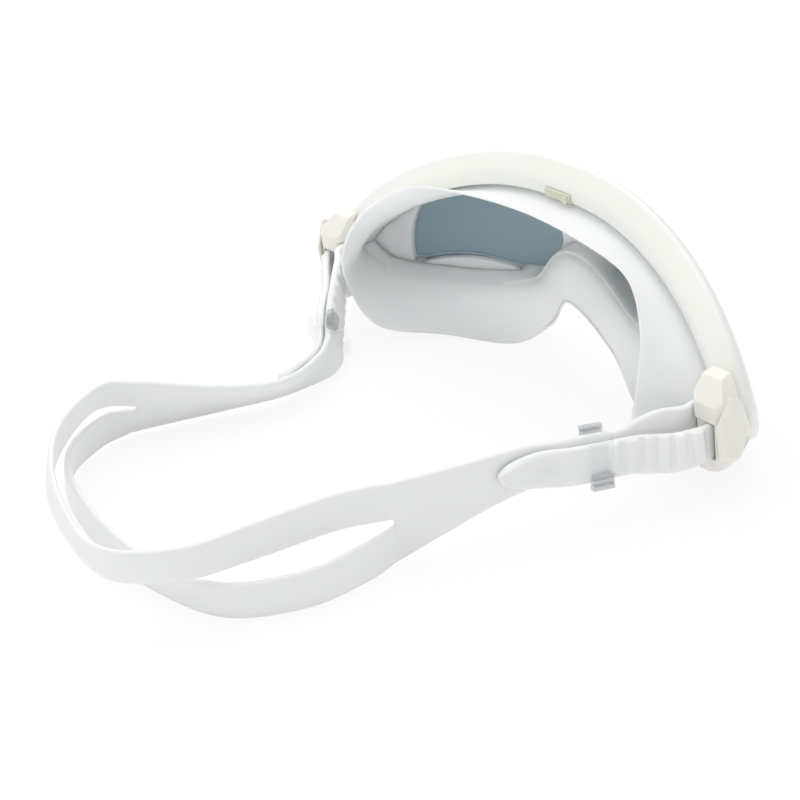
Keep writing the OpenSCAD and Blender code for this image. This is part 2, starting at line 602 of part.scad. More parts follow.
frame();
lens();
lens_lock();
retaining_ring();
skirt();
strap();
buckle_left();
buckle_right();
release_lever_left();
release_lever_right();
lever_pin_left();
lever_pin_right();
lever_spring_left();
lever_spring_right();
strap_keeper_left();
strap_keeper_right();
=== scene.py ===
"""Looks of a pair of swimming goggles: rounded hard pieces, a silicone skirt and a split strap.

Sizes are in mm in the part's frame, x to the wearer's right, y the way the wearer looks and z up
from the table, unless a docstring names another frame.
"""

import json
import logging
import math
from collections.abc import Callable, Iterator
from contextlib import contextmanager
from dataclasses import dataclass
from enum import Enum
from functools import cache

import bpy
import numpy as np
from mathutils import Matrix, Vector

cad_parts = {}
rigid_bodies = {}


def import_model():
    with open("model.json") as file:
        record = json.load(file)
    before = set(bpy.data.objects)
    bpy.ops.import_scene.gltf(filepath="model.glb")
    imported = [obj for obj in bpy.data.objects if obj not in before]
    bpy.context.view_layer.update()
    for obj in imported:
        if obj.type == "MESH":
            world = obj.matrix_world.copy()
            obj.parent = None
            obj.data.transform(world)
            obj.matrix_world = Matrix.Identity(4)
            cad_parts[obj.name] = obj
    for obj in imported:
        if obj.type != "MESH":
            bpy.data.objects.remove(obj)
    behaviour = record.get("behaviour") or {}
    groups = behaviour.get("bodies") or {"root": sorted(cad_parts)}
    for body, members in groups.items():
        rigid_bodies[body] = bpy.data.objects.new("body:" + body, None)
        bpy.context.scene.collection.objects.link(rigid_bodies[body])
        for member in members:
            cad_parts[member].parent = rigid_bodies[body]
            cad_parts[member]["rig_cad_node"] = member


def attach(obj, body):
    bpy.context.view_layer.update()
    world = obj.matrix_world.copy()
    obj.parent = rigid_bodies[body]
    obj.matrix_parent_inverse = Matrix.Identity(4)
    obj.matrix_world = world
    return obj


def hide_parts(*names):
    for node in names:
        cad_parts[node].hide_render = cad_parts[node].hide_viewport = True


Piece = bpy.types.Object
LOG = logging.getLogger("goggles")
MM = 0.001
SIDES = (1, -1)  # the wearer's right and left
DOUBLED = 0.00001  # in m: points closer than this are one point


class Surface(Enum):
    """What a finish is made of: only metal is metallic, and silicone has a fine grain."""

    PLASTIC = "plastic"
    SILICONE = "silicone"
    CLEAR = "clear"
    METAL = "metal"


@dataclass(frozen=True)
class Finish:
    """One real material: its name, colour and how it takes light; the radius is in m."""

    name: str
    slot: str
    surface: Surface
    hex: str
    roughness: float
    subsurface: float = 0.0
    radius: tuple[float, float, float] = (0.002, 0.002, 0.0018)
    transmission: float = 0.0
    alpha: float = 1.0
    ior: float = 1.46
    coat: float = 0.0
    grain: float = 0.0


# Moulded ABS from a polished mould: a soft sheen with a broad highlight.
IVORY_ABS = Finish("ivory_abs", "frame_plastic", Surface.PLASTIC, "#F1F2EB", 0.28, 0.1, coat=0.25)
# The same plastic in a warmer white, because the buckles are moulded apart from the frame.
WARM_ABS = Finish("warm_white_abs", "buckle_plastic", Surface.PLASTIC, "#F3EFE6", 0.3, 0.12, coat=0.2)
# Soft moulded silicone: light sinks in, so its hollows stay bright and its edges glow.
SKIRT_SILICONE = Finish(
    "white_skirt_silicone", "skirt_silicone", Surface.SILICONE, "#FAFCFB", 0.48, 0.7,
    radius=(0.006, 0.006, 0.0058), grain=0.02,
)
# A firmer silicone: satin, and less translucent than the skirt.
STRAP_SILICONE = Finish(
    "white_strap_silicone", "strap_silicone", Surface.SILICONE, "#F1F2F1", 0.42, 0.25, grain=0.03
)
# Tinted polycarbonate, polished on both faces: grey-blue with sharp reflections.
SMOKE_LENS = Finish(
    "smoke_polycarbonate", "smoke_lens", Surface.CLEAR, "#92AAB4", 0.06, transmission=0.35, ior=1.5
)
# The lens's polished edge: its lighter tint is painted highlight, for the light line that the edge
# catches.
LENS_EDGE_HIGHLIGHT = Finish("lens_edge_painted_highlight", "smoke_lens", Surface.CLEAR, "#A9BBC4", 0.2, alpha=0.8, ior=1.5)
# Thin moulded polycarbonate: hardly seen but for its reflections.
CLEAR_PC = Finish("clear_polycarbonate", "clear_plastic", Surface.CLEAR, "#DCE1E3", 0.1, alpha=0.07)
# The same plastic where it is thick, so that its grey tint shows.
CLEAR_LUGS = Finish(
    "thick_clear_polycarbonate", "clear_plastic", Surface.CLEAR, "#B4BCC0", 0.12, alpha=0.4
)
# Natural polycarbonate, faintly yellow and a little cloudy.
YELLOWED_PC = Finish(
    "yellowed_polycarbonate", "yellowed_plastic", Surface.CLEAR, "#F2F1DE", 0.2, alpha=0.7
)
# Drawn stainless wire and strip: a plain grey shine.
STEEL = Finish("stainless_steel", "steel", Surface.METAL, "#C4C6C9", 0.3, ior=1.5)

COAT_ROUGHNESS = 0.2
GRAIN_SCALE = 900.0  # a little over 1 mm a grain, coarser than the real one so that it shows
GRAIN_DEPTH = 0.0002  # in m


def linear(hex_colour: str) -> tuple[float, float, float, float]:
    """Turns an sRGB hex colour into linear light.

    Args:
        hex_colour: A colour such as "#F0F1E6".

    Returns:
        Red, green, blue and an alpha of 1.
    """
    parts = [int(hex_colour[i : i + 2], 16) / 255 for i in (1, 3, 5)]
    r, g, b = (c / 12.92 if c <= 0.04045 else ((c + 0.055) / 1.055) ** 2.4 for c in parts)
    return r, g, b, 1.0


def feed(tree: bpy.types.NodeTree, node: bpy.types.Node, inputs: dict) -> None:
    """Sets a node's inputs, or links them where the value is another node's output.

    Args:
        tree: The tree that holds the node.
        node: The node.
        inputs: The values and outputs, by the input's name or number.
    """
    for name, value in inputs.items():
        if isinstance(value, bpy.types.NodeSocket):
            tree.links.new(value, node.inputs[name])
        else:
            node.inputs[name].default_value = value


def add_node(tree: bpy.types.NodeTree, kind: str, inputs: dict, **settings: str) -> bpy.types.Node:
    """Adds a node to a tree.

    Args:
        tree: The tree.
        kind: The node's type, without the word ShaderNode.
        inputs: Values and outputs for its inputs.
        settings: The node's own settings.

    Returns:
        The node.
    """
    node = tree.nodes.new("ShaderNode" + kind)
    for name, value in settings.items():
        setattr(node, name, value)
    feed(tree, node, inputs)
    return node


@cache
def make_material(finish: Finish) -> bpy.types.Material:
    """Builds the shader of a finish, once.

    Args:
        finish: The finish.

    Returns:
        The material.
    """
    mat = bpy.data.materials.new(finish.name)
    mat.use_nodes = True
    tree = mat.node_tree
    bsdf = tree.nodes["Principled BSDF"]
    feed(tree, bsdf, {
        "Base Color": linear(finish.hex),
        "Roughness": finish.roughness,
        "IOR": finish.ior,
        "Metallic": 1.0 if finish.surface is Surface.METAL else 0.0,
        "Transmission Weight": finish.transmission,
        "Alpha": finish.alpha,
        "Subsurface Weight": finish.subsurface,
        "Subsurface Radius": finish.radius,
        "Subsurface Scale": 1.0,
        "Coat Weight": finish.coat,
        "Coat Roughness": COAT_ROUGHNESS,
    })
    if finish.surface is Surface.SILICONE:
        where = add_node(tree, "TexCoord", {}).outputs["Object"]
        grain = add_node(tree, "TexNoise", {"Vector": where, "Scale": GRAIN_SCALE, "Detail": 2.0})
        bump = add_node(tree, "Bump", {
            "Strength": finish.grain, "Distance": GRAIN_DEPTH, "Height": grain.outputs["Fac"],
        })
        feed(tree, bsdf, {"Normal": bump.outputs["Normal"]})
    return mat


def unit(v: np.ndarray) -> np.ndarray:
    """Scales a vector, or each row of vectors, to length 1."""
    return v / np.linalg.norm(v, axis=-1, keepdims=True)


def spans(points: np.ndarray, steps: int) -> np.ndarray:
    """Samples a smooth curve between the second and the last but one of its points.

    Args:
        points: At least four points, one a row.
        steps: Samples for each span.

    Returns:
        The samples, without the end of the last span.
    """
    s = np.linspace(0, 1, steps, endpoint=False)[:, None]
    rows = []
    for a, b, c, d in zip(points, points[1:], points[2:], points[3:]):
        square, cube = 2 * a - 5 * b + 4 * c - d, 3 * b - a - 3 * c + d
        rows.append(0.5 * (2 * b + (c - a) * s + square * s**2 + cube * s**3))
    return np.vstack(rows)


def open_curve(points: list, steps: int) -> np.ndarray:
    """Samples a smooth open curve through points, both ends included."""
    p = np.array(points, float)
    padded = np.vstack([2 * p[0] - p[1], p, 2 * p[-1] - p[-2]])
    return np.vstack([spans(padded, steps), p[-1]])


def closed_curve(points: np.ndarray, steps: int) -> np.ndarray:
    """Samples a smooth closed curve through points."""
    return spans(np.vstack([points[-1], points, points[0], points[1]]), steps)


def whole(half: list) -> np.ndarray:
    """Completes the right half of a loop with its mirror image."""
    right = np.array(half, float)
    left = right[-2:0:-1].copy()
    left[:, 0] *= -1
    return np.vstack([right, left])


def rounded(corners: list, radius: float, n: int = 5) -> np.ndarray:
    """Rounds the corners of a closed outline.

    Args:
        corners: x and y of each corner, with a radius of its own as a third value where it has one.
        radius: How far from a corner its rounding starts.
        n: Points in each rounding.

    Returns:
        The rounded outline.
    """
    points = [np.array(c[:2], float) for c in corners]
    rows = []
    for i, here in enumerate(points):
        before, after = points[i - 1] - here, points[(i + 1) % len(points)] - here
        r = corners[i][2] if len(corners[i]) > 2 else radius
        start, end = (here + min(r, 0.45 * np.linalg.norm(v)) * unit(v) for v in (before, after))
        for s in np.linspace(0, 1, n):
            rows.append((1 - s) ** 2 * start + 2 * s * (1 - s) * here + s**2 * end)
    return np.array(rows)


def bridge(near: list | range, far: list | range) -> list:
    """Faces between two closed rows of point numbers, of equal length."""
    k = len(near)
    return [[near[j], near[(j + 1) % k], far[(j + 1) % k], far[j]] for j in range(k)]


def loft(rings: np.ndarray, closed: bool) -> tuple[np.ndarray, list]:
    """Joins rings of equal length into faces.

    Args:
        rings: Ring, point and coordinate.
        closed: Whether the last ring joins the first.

    Returns:
        The points and the faces.
    """
    m, k = rings.shape[:2]
    rows = [range(i * k, (i + 1) * k) for i in range(m)]
    faces = []
    for near, far in zip(rows, rows[1:] + rows[:1] if closed else rows[1:]):
        faces += bridge(near, far)
    if not closed:
        faces += [list(range(k))[::-1], [(m - 1) * k + j for j in range(k)]]
    return rings.reshape(-1, 3), faces


def mesh_object(name: str, points: np.ndarray, faces: list) -> Piece:
    """Makes a mesh object.

    Args:
        name: Name of the object.
        points: One point a row.
        faces: Lists of point numbers.

    Returns:
        The object, linked to the scene.
    """
    mesh = bpy.data.meshes.new(name)
    mesh.from_pydata((points * MM).tolist(), [], faces)
    mesh.validate()
    mesh.update()
    obj = bpy.data.objects.new(name, mesh)
    bpy.context.scene.collection.objects.link(obj)
    return obj


def prism(name: str, outline: np.ndarray, low: float, high: float) -> Piece:
    """A solid with an outline in x and z that reaches from y = low to y = high."""
    x, z = outline.T
    rings = np.array([np.stack([x, np.full(len(x), y), z], 1) for y in (low, high)])
    return mesh_object(name, *loft(rings, False))


def relocate(obj: Piece, place: Callable[[np.ndarray], np.ndarray]) -> None:
    """Moves every point of a piece.

    Args:
        obj: The piece.
        place: Gives the new places of points, one a row.
    """
    points = np.empty(len(obj.data.vertices) * 3)
    obj.data.vertices.foreach_get("co", points)
    obj.data.vertices.foreach_set("co", (place(points.reshape(-1, 3) / MM) * MM).ravel())
    obj.data.update()


def only(obj: Piece) -> None:
    """Makes obj the only selected object and the active one."""
    bpy.ops.object.select_all(action="DESELECT")
    obj.select_set(True)
    bpy.context.view_layer.objects.active = obj


@contextmanager
def editing(obj: Piece) -> Iterator[None]:
    """Edit mode with the whole of obj selected."""
    only(obj)
    bpy.ops.object.mode_set(mode="EDIT")
    bpy.ops.mesh.select_all(action="SELECT")
    yield
    bpy.ops.object.mode_set(mode="OBJECT")


def joined(pieces: list) -> Piece:
    """Joins pieces into the first of them."""
    only(pieces[0])
    for piece in pieces:
        piece.select_set(True)
    bpy.ops.object.join()
    return pieces[0]


def modify(obj: Piece, kind: str, **settings: object) -> None:
    """Adds a modifier to a piece and applies it.

    Args:
        obj: The piece.
        kind: The modifier's type.
        settings: The modifier's settings.
    """
    only(obj)
    modifier = obj.modifiers.new(kind.lower(), kind)
    for name, value in settings.items():
        setattr(modifier, name, value)
    bpy.ops.object.modifier_apply(modifier=modifier.name)


def bevel_and_smooth(obj: Piece, width: float, segments: int, angle: float = 30.0) -> None:
    """Rounds the sharp edges of a piece and smooths its shading.

    Args:
        obj: The piece.
        width: Width of the bevel.
        segments: Segments of the bevel.
        angle: Edges sharper than this many degrees are rounded.
    """
    modify(
        obj, "BEVEL", width=width * MM, segments=segments, limit_method="ANGLE",
        angle_limit=math.radians(angle), use_clamp_overlap=True, harden_normals=False,
    )
    bpy.ops.object.shade_smooth()
    modify(obj, "WEIGHTED_NORMAL", keep_sharp=True, weight=80)


def combine(obj: Piece, other: Piece, operation: str) -> None:
    """Applies a boolean of other to obj and removes other.

    Args:
        obj: The piece that is changed.
        other: The piece that cuts it or joins it.
        operation: UNION, DIFFERENCE or INTERSECT.
    """
    for piece in (obj, other):
        with editing(piece):
            bpy.ops.mesh.normals_make_consistent(inside=False)
    modify(obj, "BOOLEAN", operation=operation, solver="EXACT", object=other)
    bpy.data.objects.remove(other, do_unlink=True)


def moulded(obj: Piece, voxel: float, passes: int, share: float) -> None:
    """Rounds every edge of a moulded piece: remeshed finely, smoothed and thinned out.

    Args:
        obj: The piece.
        voxel: Size of the remeshing.
        passes: Passes of the smoothing.
        share: Share of the faces that stays.
    """
    modify(obj, "REMESH", mode="VOXEL", voxel_size=voxel * MM)
    modify(obj, "SMOOTH", factor=0.5, iterations=passes)
    modify(obj, "DECIMATE", ratio=share)
    obj.data.validate()
    bpy.ops.object.shade_smooth()


def node_copy(node: str, flat: float = 0.0) -> Piece:
    """Copies a CAD node's mesh into a piece of its own.

    Args:
        node: Name of the CAD node.
        flat: Faces that meet at less than this many degrees become one, if it isn't 0.

    Returns:
        The piece, in place and without doubled points.
    """
    source = next(o for o in bpy.context.scene.objects if o.get("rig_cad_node") == node)
    obj = bpy.data.objects.new(node + "_look", source.data.copy())
    obj.matrix_world = source.matrix_world.copy()
    bpy.context.scene.collection.objects.link(obj)
    only(obj)
    bpy.ops.object.transform_apply(location=True, rotation=True, scale=True)
    with editing(obj):
        bpy.ops.mesh.remove_doubles(threshold=DOUBLED)
        if flat:
            bpy.ops.mesh.dissolve_limited(angle_limit=math.radians(flat), delimit=set())
    return obj


def rounded_copy(node: str, width: float) -> Piece:
    """Copies a CAD node and rounds its edges.

    Args:
        node: Name of the CAD node.
        width: Width of the rounding.

    Returns:
        The rounded piece.
    """
    obj = node_copy(node, flat=0.6)
    bevel_and_smooth(obj, width, 3)
    return obj


def dress(obj: Piece, finish: Finish, body: str, *nodes: str) -> None:
    """Gives a piece its material and body, and the CAD nodes it stands for.

    Args:
        obj: The piece.
        finish: Its finish.
        body: The body that it rides on.
        nodes: The CAD nodes that it replaces.
    """
    obj.data.materials.clear()
    obj.data.materials.append(make_material(finish))
    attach(obj, body)
    if nodes:
        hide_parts(*nodes)
    LOG.info("%s: %d faces, %s, on %s", obj.name, len(obj.data.polygons), finish.name, body)


@dataclass(frozen=True)
class Front:
    """The curved front of the goggles, with the same sizes as the CAD source.

    Its own frame has x to the right, y ahead and z up along the front, and leans back on the table.
    Places on it are n outwards from the frame's crest and d in front of the crest's cylinder.
    """

    half_w: float = 88.5
    brow_h: float = 37.5
    cheek_h: float = 21.5
    nose_h: float = 0.5
    nose_w: float = 15.0
    wrap_r: float = 140.0
    front_y: float = 37.5
    band_d: float = 7.9
    band_n: float = 8.0
    lean: float = 20.0
    seat_z: float = 19.73
    seal_w: float = 64.5
    skirt_t: float = 1.7
    seal_t: float = 1.0
    post_in: float = 9.0
    post_back: float = 8.5
    post_up: float = 1.6
    lip_edge: float = 7.8
    lens_back: float = -1.575
    flange_back: float = -3.725
    ring_back: float = -5.875
    steps: int = 15

    def crest(self) -> np.ndarray:
        """x and z of the frame's crest, all round."""
        w, b, c = self.half_w, self.brow_h, self.cheek_h
        half = [
            (0, b), (0.28 * w, b - 1), (0.54 * w, b - 6), (0.76 * w, b - 13.5), (0.93 * w, b - 24),
            (w, b - 36), (0.9 * w, 6.5 - c), (0.64 * w, -c), (0.37 * w, 1 - c), (self.nose_w, 8.5 - c),
            (0, self.nose_h),
        ]
        return closed_curve(whole(half), self.steps)

    def seal(self) -> np.ndarray:
        """The skirt's sealing lip, drawn as x, depth behind the front and z."""
        w, b, c, n = self.seal_w, self.brow_h, self.cheek_h, self.nose_h
        half = [
            (0, 22.5, b - 1.5), (0.4 * w, 22.1, b - 1.8), (0.73 * w, 19.6, b - 4.9),
            (0.93 * w, 24, b - 11.5), (w, 30.8, b - 21.5), (0.98 * w, 35.4, b - 33),
            (0.9 * w, 35.4, 9.5 - c), (0.68 * w, 26.5, 0.5 - c), (0.4 * w, 19.6, -4.5 - c),
            (0.19 * w, 14.5, 3.5 - c), (0, 15.5, n - 5.2),
        ]
        half = [(x, self.wrap_y(x, self.wrap_r) - depth, z) for x, depth, z in half]
        return closed_curve(whole(half), self.steps)

    def outward(self) -> np.ndarray:
        """Unit vectors in x and z that point out of the crest's loop."""
        c = self.crest()
        t = unit(np.roll(c, -1, 0) - np.roll(c, 1, 0))
        return np.stack([-t[:, 1], t[:, 0]], 1)

    def wrap_y(self, x: np.ndarray, r: float) -> np.ndarray:
        """y on the upright cylinder of radius r that the front follows."""
        return self.front_y - self.wrap_r + np.sqrt(r * r - x * x)

    def on_front(self, n: float, d: float) -> np.ndarray:
        """The loop that lies n outwards from the crest and d in front of it."""
        q = self.crest() + n * self.outward()
        return np.stack([q[:, 0], self.wrap_y(q[:, 0], self.wrap_r + d), q[:, 1]], 1)

    def on_table(self, points: np.ndarray) -> np.ndarray:
        """Moves points from the front's own frame to where it lies on the table."""
        a = math.radians(self.lean)
        x, y, z = np.moveaxis(points, -1, 0)
        back = y * math.cos(a) - z * math.sin(a)
        return np.stack([x, back, self.seat_z + y * math.sin(a) + z * math.cos(a)], -1)


@dataclass(frozen=True)
class Rim:
    """The hard frame: one loop with a bevelled band, which the buckles take over at the temples.

    The seams are places along the loop, in points of the crest's half.
    """

    front: Front
    seam_top: float = 4.0
    seam_low: float = 5.6
    lip_front: float = 2.4
    lip_back: float = 0.7
    lens_groove: float = 3.4
    flange_groove: float = 4.2
    ring_groove: float = 5.2
    gap: float = 0.075
    held_n: float = -5.4
    held_d: float = -6.2
    notch_in: tuple = (1.65, 0.75)
    notch_size: tuple = (11, 5.3, 4.5)

    def profile(self) -> np.ndarray:
        """The rounded section, n and d of each point."""
        f = self.front
        lens, flange = f.lens_back - self.gap, f.flange_back - self.gap
        ring = f.ring_back - 2 * self.gap
        return rounded([
            (0, 0, 1.6), (-1.8, 2.0, 1.2), (0.2 - f.lip_edge, self.lip_front, 0.6),
            (-f.lip_edge, self.lip_back, 0.3), (-self.lens_groove, self.lip_back, 0.1),
            (-self.lens_groove, lens, 0.1), (-self.flange_groove, lens, 0.1),
            (-self.flange_groove, flange, 0.1), (-self.ring_groove, flange, 0.1),
            (-self.ring_groove, ring, 0.1), (-f.band_n, ring, 0.4), (-f.band_n, -f.band_d, 0.7),
            (-0.53 * f.band_n, 0.5 - f.band_d, 2.4),
        ], 0.3)

    def notch(self) -> Piece:
        """The block that cuts the seat of the lens lock."""
        f = self.front
        y, z = self.notch_in
        at = f.on_table(np.array([0, f.wrap_y(0, f.wrap_r - f.band_d) + y, f.brow_h - f.band_n + z]))
        turn = (math.radians(f.lean), 0, 0)
        bpy.ops.mesh.primitive_cube_add(size=1, location=tuple(at * MM), rotation=turn)
        block = bpy.context.object
        block.scale = tuple(s * MM for s in self.notch_size)
        only(block)
        bpy.ops.object.transform_apply(location=True, rotation=True, scale=True)
        return block

    def build(self) -> Piece:
        """Sweeps the section round the front, held back under the buckles.

        Returns:
            The frame piece.
        """
        f = self.front
        count = len(f.crest())
        i = np.arange(count) / f.steps
        j = np.minimum(i, count / f.steps - i)
        under_buckle = ((j > self.seam_top) & (j < self.seam_low))[:, None]
        rings = []
        for n, d in self.profile():
            held = f.on_front(max(n - 0.25, self.held_n), max(d, self.held_d))
            rings.append(np.where(under_buckle & (d < -1.5), held, f.on_front(n, d)))
        obj = mesh_object("frame_look", *loft(f.on_table(np.stack(rings, 1))[:, ::-1], True))
        combine(obj, self.notch(), "DIFFERENCE")
        only(obj)
        bpy.ops.object.shade_smooth_by_angle(angle=math.radians(40))
        return obj


@dataclass(frozen=True)
class Skirt:
    """The soft face skirt, with a web that leaves a window for each eye.

    The window is drawn for the right eye, x and z on the front with a radius for each corner; it is
    open at the top, where the brow hides it. The edge is the line of the lens's inner face below it.
    """

    front: Front
    window: tuple = (
        (7, 50), (9, 12.5, 4), (9.4, 8.6, 2), (19, -8.4, 2.6), (26, -8.9, 3), (33, -8.4, 4),
        (43.5, -6.6, 4), (51.3, -6.1, 4), (59.5, -7.0, 4), (68.4, -9.0, 3), (67.5, -1.9, 4),
        (64.7, 7.2, 4), (59, 16.2, 4), (50, 22, 4), (42, 50),
    )
    edge: tuple = (
        (20.4, -6.6), (21.4, -8.0), (24, -8.5), (34.6, -7.9), (45.2, -6.0), (53.1, -5.6), (60.9, -6.3),
        (66.4, -7.3), (68.2, -6.4),
    )
    edge_r: float = 0.42
    far: float = 60.0
    groove_n: float = -4.35
    temple: tuple = (0.84, 0.08)  # where it starts and over how much, as shares of half_w
    nose: tuple = (26.0, 10.0)  # where it starts and over how much, in x
    nose_top: float = 10.0
    nose_drop: float = 0.6
    bow: tuple = (1.5, 3.5)  # of the wall's middle inwards, and how much less at the nose
    slope: tuple = (1.1, 2.2)  # of the inner face beside the lens, and how much less at the nose
    thinner: float = 0.4  # share that the wall loses beside the lens, over the same share of it

    def web(self) -> Piece:
        """Builds the plate behind the lens.

        Returns:
            The plate, with both windows cut.
        """
        f, far = self.front, self.far
        x = np.linspace(-f.half_w, f.half_w, 121)
        front, back = f.lens_back - 0.3, f.flange_back + 0.15
        corners = []
        for d, z in ((front, far), (front, -far), (back, -far), (back, far)):
            corners.append(np.stack([x, f.wrap_y(x, f.wrap_r + d), np.full(len(x), z)], 1))
        plate = mesh_object("web", *loft(np.stack(corners, 1), False))
        inside = f.crest() - f.band_n * f.outward()
        combine(plate, prism("inside", inside, -far, far), "INTERSECT")
        for side in SIDES:
            eye = rounded(list(self.window), 1.5) * [side, 1]
            combine(plate, prism("eye", eye, -far, far), "DIFFERENCE")
        relocate(plate, f.on_table)
        bevel_and_smooth(plate, 0.5, 3, 40)
        return plate

    def lens_rim(self, side: int) -> Piece:
        """Builds the polished edge line of the lens's inner face, along the foot of a window.

        Args:
            side: 1 for the right eye, -1 for the left.

        Returns:
            The line.
        """
        f, r = self.front, self.edge_r
        path = open_curve(list(self.edge), 8)
        x, z = side * path[:, 0], path[:, 1]
        run = unit(np.gradient(np.stack([x, z], 1), axis=0))
        rings = []
        for a in np.linspace(0, 2 * math.pi, 10, endpoint=False):
            px, pz = x - r * math.cos(a) * run[:, 1], z + r * math.cos(a) * run[:, 0]
            y = f.wrap_y(px, f.wrap_r + f.lens_back - 0.1 + r * math.sin(a))
            rings.append(np.stack([px, y, pz], 1))
        name = "lens_rim_" + ("right" if side > 0 else "left")
        obj = mesh_object(name, *loft(f.on_table(np.stack(rings, 1)), False))
        only(obj)
        bpy.ops.object.shade_smooth()
        return obj

    def build(self) -> Piece:
        """Sweeps the skirt's section round the front and joins the web to it.

        Returns:
            The skirt piece.
        """
        f = self.front
        skirt_n = f.band_n + 1
        out = f.outward()
        out = np.stack([out[:, 0], np.zeros(len(out)), out[:, 1]], 1)
        side, low = np.abs(f.crest()[:, 0]), f.crest()[:, 1] < self.nose_top
        # Shares from 0 to 1: the wall starts further ahead at the temples, behind the ring, and it
        # is thinner and lower at the nose.
        temple = np.clip((side / f.half_w - self.temple[0]) / self.temple[1], 0, 1)[:, None]
        nose = np.clip((self.nose[0] - side) / self.nose[1], 0, 1) * low
        nose = (nose**2 * (3 - 2 * nose))[:, None]
        start = f.on_front(-skirt_n - 0.3, -f.band_d - 0.6) * (1 - temple)
        start = start + f.on_front(-skirt_n - 0.3, f.ring_back - 0.2) * temple
        start = start + self.nose_drop * nose * out
        lip = f.seal()
        middle = (start + lip) / 2 - (self.bow[0] - self.bow[1] * nose) * out

        def wall(s: float, inset: float) -> np.ndarray:
            """The loop at share s of the way to the lip, inset from the outer face."""
            curve = (start + (middle - start) * s) * (1 - s) + (middle + (lip - middle) * s) * s
            return curve - inset * (1 - 0.35 * nose) * out

        steps = np.linspace(0, 0.97, 10)
        thickness = f.skirt_t + (f.seal_t - f.skirt_t) * steps
        thickness = thickness * (1 - self.thinner * np.clip(1 - steps / self.thinner, 0, 1))
        inner = f.on_front(-skirt_n - f.skirt_t, f.lens_back - 0.15)
        rings = [
            inner + (self.slope[1] * nose - self.slope[0]) * out,
            f.on_front(self.groove_n, f.lens_back - 0.15),
            f.on_front(self.groove_n, f.flange_back), f.on_front(-skirt_n, f.flange_back),
        ]
        rings += [wall(s, 0) for s in steps]
        tip = wall(1.0, 0)
        along = unit(tip - wall(0.97, 0))
        half = f.seal_t / 2
        centre = tip - half * out - half * along
        for q in np.radians(np.linspace(10, 170, 7)):
            rings.append(centre + half * (math.cos(q) * out + math.sin(q) * along))
        rings += [wall(s, t) for s, t in zip(steps[::-1], thickness[::-1])]
        obj = mesh_object("skirt_look", *loft(f.on_table(np.stack(rings, 1))[:, ::-1], True))
        bevel_and_smooth(obj, 0.3, 2, 40)
        return joined([obj, self.web()])


